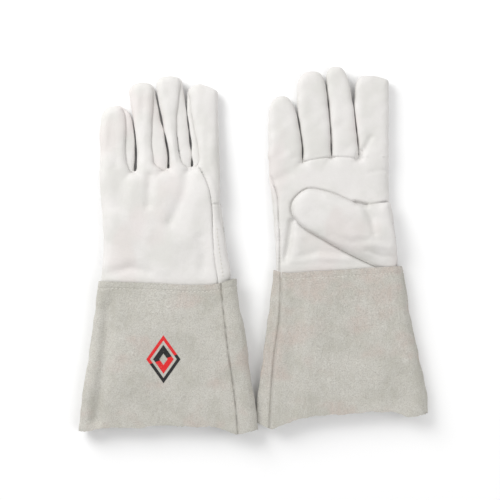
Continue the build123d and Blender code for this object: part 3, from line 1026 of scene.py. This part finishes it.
def cuff_panels(glove):
    """The cuff's back and palm panels, with a wavy raw hem."""
    c = CUFF[glove]
    field = cuff_field(glove)
    low = (float(c["ulnar"](-180.0)) - 4, -190.0, -2.0)
    high = (float(c["radial"](-165.0)) + 4, -10.0, 27.0)
    v, t = meshed(field, low, high, CELL["cuff"])

    def side(x, y, z):
        return cuff_level(glove, y, z)

    def top(x, y, z):
        return c["top"](x) + 0.15 * HEM_WAVES[1](x, x * 0.3) - y

    def hem(x, y, z):
        ragged = 0.55 * HEM_WAVES[0](x, z * 2) + 0.34 * HEM_WAVES[1](x, z * 3)
        return y - c["hem"](x) - ragged

    def radial(x, y, z):
        return x - c["radial_seam"](y)

    def ulnar(x, y, z):
        return x - c["ulnar_seam"](y)

    def stitches(x, y, z):
        return c["top"](x) - y - STITCH_INSET

    v, t = cut_all(field, v, t, [side, radial, ulnar, top, hem], CELL["cuff"], [radial, ulnar, stitches])

    def whole(x, y, z):
        return (top(x, y, z) > 0) & (hem(x, y, z) > 0)

    def back(x, y, z):
        s = side(x, y, z)
        return ((s < 0) & (radial(x, y, z) < 0)) | ((s > 0) & (ulnar(x, y, z) < 0))

    middle = float(c["ulnar"](-40.0) + c["radial"](-40.0)) / 2
    edge = float(c["top"](middle)) - 1.0
    for kind, region in (("back", back), ("palm", lambda *p: ~back(*p))):
        node = f"{glove}_cuff_{kind}"
        triangles = kept(v, t, lambda *p: whole(*p) & region(*p))
        piece = leather_panel(f"{node}_suede", field, v, triangles, SUEDE)
        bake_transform(declare(piece, node))

    row = []
    for x in np.arange(float(c["ulnar"](-30.0)) + 9, float(c["radial"](-30.0)) - 8, 0.5):
        row.append((x, float(c["top"](x)) - STITCH_INSET))
    piece = stitch_row(f"{glove}_cuff_stitching_thread", field, row, c["level"])
    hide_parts(f"{glove}_cuff_stitching")
    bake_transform(piece)
    if glove == "left":
        emblem(field, v, t)


def emblem(field, v, t):
    """A printed diamond in two colours on the cuff's back: a plain generic mark."""
    (cx, cy), (hx, hy) = EMBLEM_CENTRE, EMBLEM_HALF

    def ring(size):
        return lambda x, y, z: np.abs(x - cx) / hx + np.abs(y - cy) / hy - size

    def split(x, y, z):
        return (y - cy) - 0.35 * (x - cx)

    near = v[t].mean(1)
    t = t[(ring(1.3)(*near.T) < 0) & (near[:, 2] > CUFF["left"]["level"](near[:, 1]))]
    for _ in range(2):
        v, t = subdivided(v, t)
    v = project(field, v, 1, 0.3)
    v, t = cut_all(field, v, t, [*(ring(size) for size in EMBLEM_RINGS), split], 0.4)
    lifted = v + PRINT_LIFT * normals_of(field, v)

    def inked(p, red):
        """Red is the frame's upper and the middle's lower half, and black is the rest."""
        size = ring(0.0)(*p)
        above = split(*p) > 0
        inner = (size < EMBLEM_RINGS[2]) & (size > EMBLEM_RINGS[3])
        return np.where(inner, above != red, (size > EMBLEM_RINGS[1]) & (above == red))

    for name, material in (("red", PRINT_RED), ("black", PRINT_BLACK)):
        triangles = kept(v, t, lambda *p: (ring(1.0)(*p) < 0) & inked(p, name == "red"))
        piece = leather_panel(f"left_cuff_emblem_{name}", field, lifted, triangles, PRINT_THICKNESS)
        piece.data.materials.append(material)
        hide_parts("left_cuff_emblem")
        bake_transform(piece)


def subdivided(v, t):
    """Each triangle in four."""
    edges = np.sort(np.concatenate([t[:, (0, 1)], t[:, (1, 2)], t[:, (2, 0)]]), 1)
    unique, back = np.unique(edges, axis=0, return_inverse=True)
    a, b, c = (back.reshape(-1) + len(v)).reshape(3, -1)
    v = np.concatenate([v, v[unique].mean(1)])
    corners = [np.stack(x, 1) for x in ((t[:, 0], a, c), (a, t[:, 1], b), (c, b, t[:, 2]), (a, b, c))]
    return v, np.concatenate(corners)


# ---------------------------------------------------------------- stitches

STITCH_LENGTH = 2.6
STITCH_PITCH = 3.9
STITCH_RADIUS = 0.38
STITCH_RINGS, STITCH_SIDES = 7, 8
HEIGHT_HALVINGS = 24  # of the interval in which a height is looked for
WING_ROW = 0.42  # how far across the wing's strip its stitches run


def height_over(field, xy, level, reach=16.0):
    """The upper surface's height over points of the plan."""
    x, y = xy.T
    low = level(y) + 0.5
    high = low + reach
    for _ in range(HEIGHT_HALVINGS):
        middle = (low + high) / 2
        inside = field(x, y, middle) < 0
        low = np.where(inside, middle, low)
        high = np.where(inside, high, middle)
    return low


def stitch_row(name, field, row, level):
    """Thread stitches along a row of plan points, lying on the upper surface."""
    row = np.array(row, float)
    steps = np.linalg.norm(np.diff(row, axis=0), axis=1)
    along = np.concatenate([[0], np.cumsum(steps)])
    vertices, faces = [], []
    rings, sides = STITCH_RINGS, STITCH_SIDES
    for centre in np.arange(STITCH_PITCH / 2, along[-1], STITCH_PITCH):
        at = centre + np.linspace(-0.5, 0.5, rings) * STITCH_LENGTH
        xy = np.stack([np.interp(at, along, row[:, 0]), np.interp(at, along, row[:, 1])], 1)
        bow = 1 - (2 * np.linspace(-0.5, 0.5, rings)) ** 4
        path = np.column_stack([xy, height_over(field, xy, level) + STITCH_RADIUS * (1.3 * bow - 0.9)])
        tangent = path[-1] - path[0]
        tangent /= np.linalg.norm(tangent)
        across = np.cross(tangent, (0, 0, 1))
        across /= np.linalg.norm(across)
        upward = np.cross(across, tangent)
        first = len(vertices)
        for point, width in zip(path, 0.55 + 0.45 * bow):
            for side in range(sides):
                angle = 2 * math.pi * side / sides
                offset = math.cos(angle) * across + math.sin(angle) * upward
                vertices.append(point + STITCH_RADIUS * width * offset)
        for ring in range(rings - 1):
            for side in range(sides):
                a = first + ring * sides + side
                b = first + ring * sides + (side + 1) % sides
                faces.append((a, b, b + sides, a + sides))
        faces.append(tuple(first + side for side in reversed(range(sides))))
        faces.append(tuple(first + (rings - 1) * sides + side for side in range(sides)))
    mesh = bpy.data.meshes.new(name)
    mesh.from_pydata([tuple(p) for p in placed(vertices)], [], faces)
    mesh.shade_smooth()
    piece = linked(name, mesh)
    piece.data.materials.append(THREAD)
    return piece


def wing_stitches(glove, field):
    """The row of stitches on the strip beside the back's thumb-side seam."""
    h = HAND[glove]
    sign = -PALM_SIDE[glove]
    row = []
    for y in np.arange(24.0, h["cuff_line"] + 3, -0.5):
        seam, edge = float(h["seam"](y)), float(h["radial"](y))
        row.append((seam + WING_ROW * (edge - seam), y))

    def upper(x, y, z):
        return field(x, y, h["level"](y) + sign * (z - h["level"](y)))

    piece = stitch_row(f"{glove}_wing_stitching_thread", upper, row, h["level"])
    if sign < 0:
        for vertex in piece.data.vertices:
            level = float(h["level"](vertex.co.y / MM - PAIR_SHIFT[1])) * MM
            vertex.co.z = 2 * level - vertex.co.z
        piece.data.flip_normals()
    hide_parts(f"{glove}_wing_stitching")
    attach(piece, f"{glove}_hand")


# ---------------------------------------------------------------- materials


class Shader:
    """A node material, with short calls for its nodes and links."""

    def __init__(self, name, colour, roughness):
        self.material = bpy.data.materials.new(name)
        self.material.use_nodes = True
        self.tree = self.material.node_tree
        self.surface = self.tree.nodes["Principled BSDF"]
        self.set(self.surface, "Base Color", (*colour, 1))
        self.set(self.surface, "Roughness", roughness)
        self.place = self.tree.nodes.new("ShaderNodeTexCoord").outputs["Object"]

    def set(self, node, socket, value):
        if isinstance(value, bpy.types.NodeSocket):
            self.tree.links.new(value, node.inputs[socket])
        else:
            node.inputs[socket].default_value = value

    def node(self, kind, inputs, **settings):
        node = self.tree.nodes.new("ShaderNode" + kind)
        for name, value in settings.items():
            setattr(node, name, value)
        for socket, value in inputs.items():
            self.set(node, socket, value)
        return node

    def finish(self, **inputs):
        """Sets the surface's own sockets, named with underscores for spaces."""
        for name, value in inputs.items():
            self.set(self.surface, name.replace("_", " "), value)
        return self.material

    def noise(self, size, detail=3.0, roughness=0.55, stretch=(1, 1, 1)):
        """Noise with features of that size in millimetres."""
        mapping = self.node("Mapping", {"Vector": self.place, "Scale": stretch})
        inputs = {"Vector": mapping.outputs[0], "Scale": 1 / (size * MM)}
        inputs |= {"Detail": detail, "Roughness": roughness}
        return self.node("TexNoise", inputs).outputs["Fac"]

    def cells(self, size):
        """Distance to the edges of pebble-like cells of that size in millimetres."""
        inputs = {"Vector": self.place, "Scale": 1 / (size * MM)}
        return self.node("TexVoronoi", inputs, feature="DISTANCE_TO_EDGE").outputs["Distance"]

    def ramp(self, value, low, high, start=0.0, end=1.0):
        inputs = {"Value": value, "From Min": low, "From Max": high, "To Min": start, "To Max": end}
        return self.node("MapRange", inputs, interpolation_type="SMOOTHSTEP").outputs["Result"]

    def mix(self, share, a, b):
        """Colour a where share is 0 and b where it is 1."""
        colours = [c if isinstance(c, bpy.types.NodeSocket) else (*c, 1) for c in (a, b)]
        return self.node("Mix", {0: share, 6: colours[0], 7: colours[1]}, data_type="RGBA").outputs[2]

    def add(self, a, b, weight):
        return self.node("Math", {0: b, 1: weight, 2: a}, operation="MULTIPLY_ADD").outputs[0]

    def bump(self, height, depth):
        """Bump from a height, whose full range is that depth in millimetres."""
        return self.node("Bump", {"Height": height, "Strength": 1.0, "Distance": depth * MM}).outputs[0]


def goatskin():
    """Off-white goatskin: fine pebbled grain, soft wrinkles and faint warm and pinkish clouding."""
    shader = Shader("goatskin", (0.8, 0.79, 0.77), 0.5)
    clouds = shader.ramp(shader.noise(34, 3.0), 0.38, 0.66)
    blush = shader.ramp(shader.noise(48, 2.0, stretch=(1.0, 0.6, 1.0)), 0.5, 0.72)
    colour = shader.mix(clouds, (0.735, 0.718, 0.702), (0.675, 0.665, 0.638))
    colour = shader.mix(shader.ramp(blush, 0, 1, 0, 0.4), colour, (0.705, 0.635, 0.62))
    grain = shader.ramp(shader.cells(1.15), 0.0, 0.22)
    speck = shader.ramp(shader.noise(3.0, 4.0), 0.35, 0.65)
    colour = shader.mix(shader.ramp(grain, 0, 1, 0.10, 0.0), colour, (0.62, 0.58, 0.53))
    roughness = shader.ramp(speck, 0, 1, 0.46, 0.58)
    wrinkles = shader.noise(5.5, 4.0, 0.6)
    normal = shader.bump(shader.add(shader.add(wrinkles, grain, 0.22), speck, 0.12), 0.28)
    return shader.finish(Base_Color=colour, Roughness=roughness, Specular_IOR_Level=0.4, Normal=normal)


def suede_leather():
    """Grey-beige split leather: a short fibrous nap, brushed patches and faint uneven tints."""
    shader = Shader("suede", (0.6, 0.58, 0.53), 0.95)
    patches = shader.ramp(shader.noise(30, 3.0, 0.5), 0.36, 0.66)
    rosy = shader.ramp(shader.noise(38, 2.0, 0.5, stretch=(0.8, 1.2, 1.0)), 0.48, 0.7)
    brushed = shader.ramp(shader.noise(6.0, 5.0, 0.7, stretch=(1.0, 0.5, 1.0)), 0.34, 0.66)
    fibres = shader.noise(1.1, 5.0, 0.75)
    colour = shader.mix(patches, (0.665, 0.65, 0.595), (0.56, 0.55, 0.49))
    colour = shader.mix(shader.ramp(rosy, 0, 1, 0, 0.7), colour, (0.635, 0.54, 0.49))
    colour = shader.mix(shader.ramp(brushed, 0, 1, 0, 0.45), colour, (0.68, 0.67, 0.63))
    colour = shader.mix(shader.ramp(fibres, 0.36, 0.7, 0, 0.75), colour, (0.40, 0.375, 0.33))
    normal = shader.bump(shader.add(fibres, brushed, 0.5), 0.9)
    sheen = {"Sheen_Weight": 0.25, "Sheen_Roughness": 0.5}
    return shader.finish(Base_Color=colour, Specular_IOR_Level=0.15, Normal=normal, **sheen)


def thread():
    """Off-white sewing thread with a fine twist."""
    shader = Shader("thread", (0.78, 0.76, 0.71), 0.6)
    twist = shader.noise(0.5, 2.0)
    colour = shader.mix(twist, (0.74, 0.72, 0.67), (0.62, 0.60, 0.54))
    return shader.finish(Base_Color=colour, Normal=shader.bump(twist, 0.12))


def print_ink(name, colour, faded):
    """Screen print that has sunk unevenly into the suede."""
    shader = Shader(name, colour, 0.7)
    worn = shader.ramp(shader.noise(1.6, 4.0, 0.7), 0.52, 0.72, 0, 0.6)
    normal = shader.bump(shader.noise(0.9, 4.0, 0.7), 0.3)
    return shader.finish(Base_Color=shader.mix(worn, colour, faded), Normal=normal)


# ---------------------------------------------------------------- stage


VIEW_WIDTH = 0.5  # width of the view at the gloves' height, in metres
VIEW_CENTRE = (-0.0020, -0.0007)
VIEW_LEVEL = 0.012  # that height
FLOOR_HALF = 3.0  # half the floor's side
WORLD_LIGHT = 0.52
LAMPS = (  # name, place, size, power
    ("key", (-1.0, 0.9, 0.95), 1.0, 21.0),
    ("fill", (0.9, -0.3, 1.2), 1.2, 7.0),
)


def make_stage():
    """Plain pale floor, soft studio light and a camera straight above."""
    mesh = bpy.data.meshes.new("floor")
    corners = [(x * FLOOR_HALF, y * FLOOR_HALF, 0) for x, y in ((-1, -1), (1, -1), (1, 1), (-1, 1))]
    mesh.from_pydata(corners, [], [(0, 1, 2, 3)])
    floor = linked("floor", mesh)
    floor.data.materials.append(Shader("floor_paper", (0.97, 0.97, 0.97), 0.9).material)

    world = bpy.data.worlds.new("studio")
    bpy.context.scene.world = world
    world.use_nodes = True
    background = world.node_tree.nodes["Background"]
    background.inputs[0].default_value = (1.0, 1.0, 1.0, 1)
    background.inputs[1].default_value = WORLD_LIGHT
    for name, place, size, power in LAMPS:
        light = bpy.data.lights.new(name, "AREA")
        light.size = size
        light.energy = power
        lamp = linked(name, light)
        lamp.location = place
        lamp.rotation_euler = (-Vector(place)).to_track_quat("-Z", "Y").to_euler()

    camera = bpy.data.cameras.new("camera")
    camera.lens = 85.0
    camera.sensor_width = 36.0
    eye = linked("camera", camera)
    eye.location = (*VIEW_CENTRE, VIEW_WIDTH * camera.lens / camera.sensor_width + VIEW_LEVEL)
    bpy.context.scene.camera = eye
    bpy.context.scene.view_settings.view_transform = "Standard"


make_stage()
GOATSKIN = goatskin()
SUEDE_LEATHER = suede_leather()
THREAD = thread()
PRINT_RED = print_ink("print_red", (0.70, 0.008, 0.012), (0.60, 0.16, 0.13))
PRINT_BLACK = print_ink("print_black", (0.008, 0.008, 0.009), (0.10, 0.09, 0.08))
for glove in ("left", "right"):
    hand = hand_panels(glove)
    wing_stitches(glove, hand)
    for finger in FINGER_NAMES:
        finger_panels(glove, finger)
    thumb_panels(glove)
    cuff_panels(glove)
